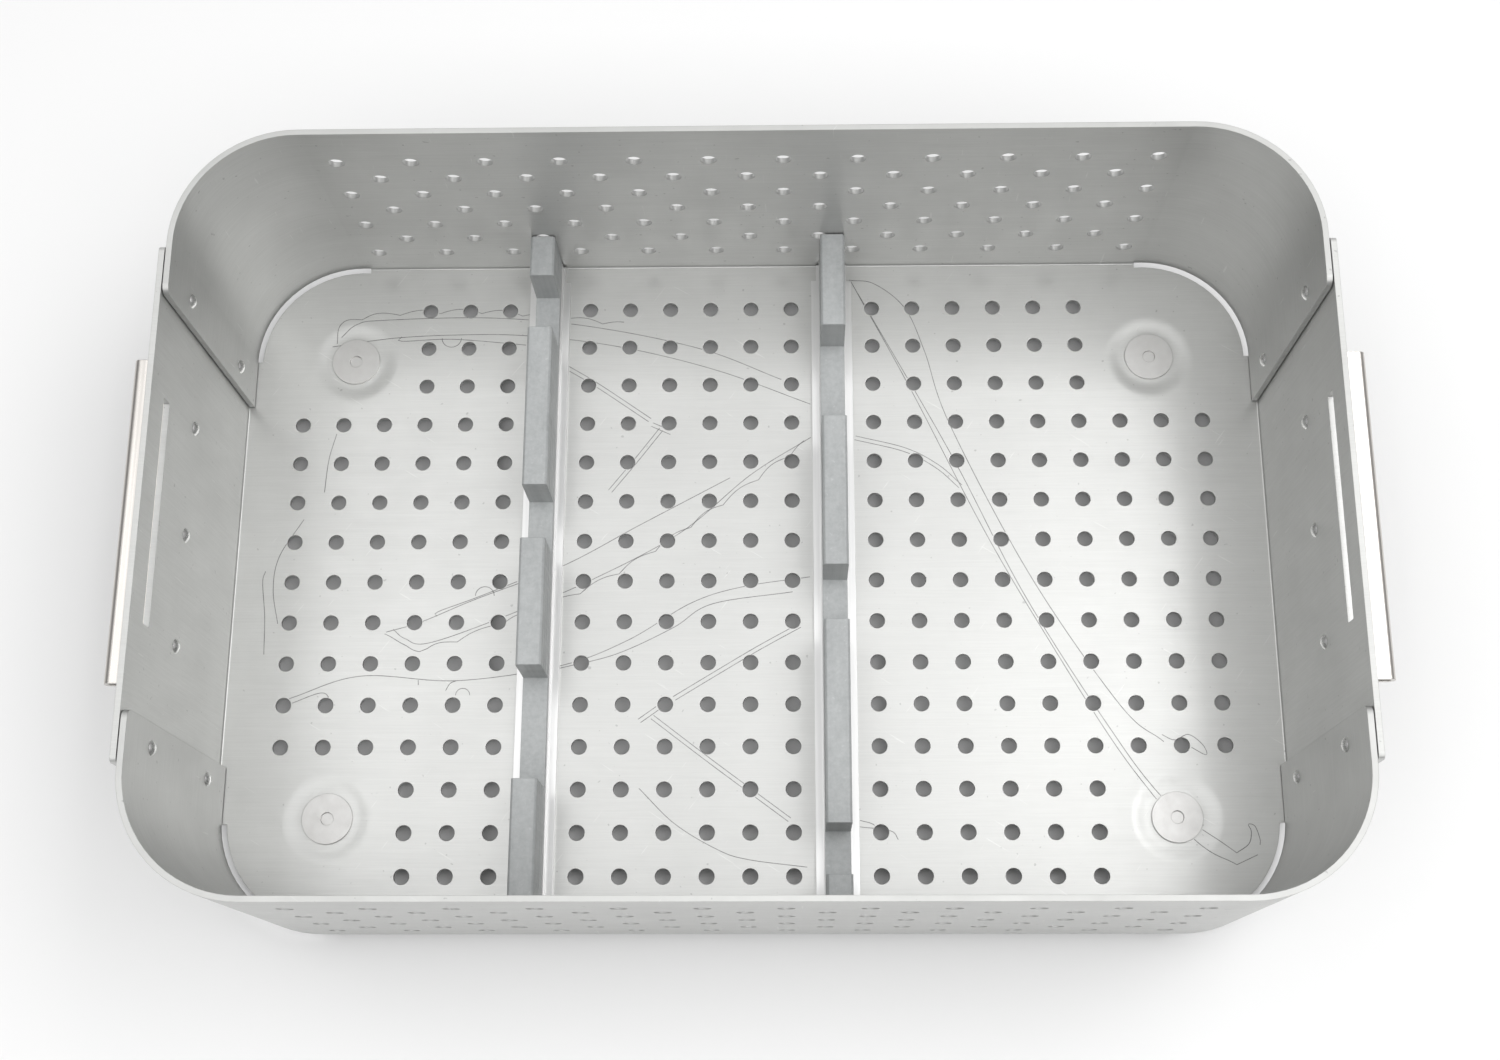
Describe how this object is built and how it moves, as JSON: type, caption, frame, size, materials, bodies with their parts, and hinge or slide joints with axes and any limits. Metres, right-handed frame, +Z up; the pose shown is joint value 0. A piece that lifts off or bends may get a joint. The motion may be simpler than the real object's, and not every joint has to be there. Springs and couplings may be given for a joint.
{
  "type": "instrument tray",
  "caption": "Open perforated aluminium instrument tray with wrapped round corners, end grips, and two rails holding notched silicone combs, on silicone feet.",
  "frame": {"origin": "centre of the footprint, on the surface that the feet stand on", "axes": "+X along the tray to the right-hand end, +Y to the rear wall, +Z up"},
  "size_m": [0.323, 0.199, 0.09],
  "materials": {
    "shell_aluminium": "satin anodised, lightly brushed along the tray",
    "rail_aluminium": "satin anodised extrusion, bright edges",
    "washer_aluminium": "satin anodised, turned",
    "handle_steel": "brushed along its length, slightly warm",
    "rivet_steel": "polished, lightly marked",
    "silicone": "matt bluish grey silicone"
  },
  "bodies": {
    "root": {"floor_pan": "shell_aluminium", "rear_wall": "shell_aluminium", "front_wall": "shell_aluminium", "left_handle": "handle_steel", "right_handle": "handle_steel", "left_handle_rivets": "rivet_steel", "right_handle_rivets": "rivet_steel", "rear_left_rivets": "rivet_steel", "rear_right_rivets": "rivet_steel", "front_left_rivets": "rivet_steel", "front_right_rivets": "rivet_steel", "left_rail": "rail_aluminium", "right_rail": "rail_aluminium", "left_rail_rivets": "rivet_steel", "right_rail_rivets": "rivet_steel", "left_comb": "silicone", "right_comb": "silicone", "rear_left_foot": "silicone", "rear_right_foot": "silicone", "front_left_foot": "silicone", "front_right_foot": "silicone", "rear_left_washer": "washer_aluminium", "rear_right_washer": "washer_aluminium", "front_left_washer": "washer_aluminium", "front_right_washer": "washer_aluminium", "rear_left_foot_rivet": "rivet_steel", "rear_right_foot_rivet": "rivet_steel", "front_left_foot_rivet": "rivet_steel", "front_right_foot_rivet": "rivet_steel"}
  },
  "joints": []
}
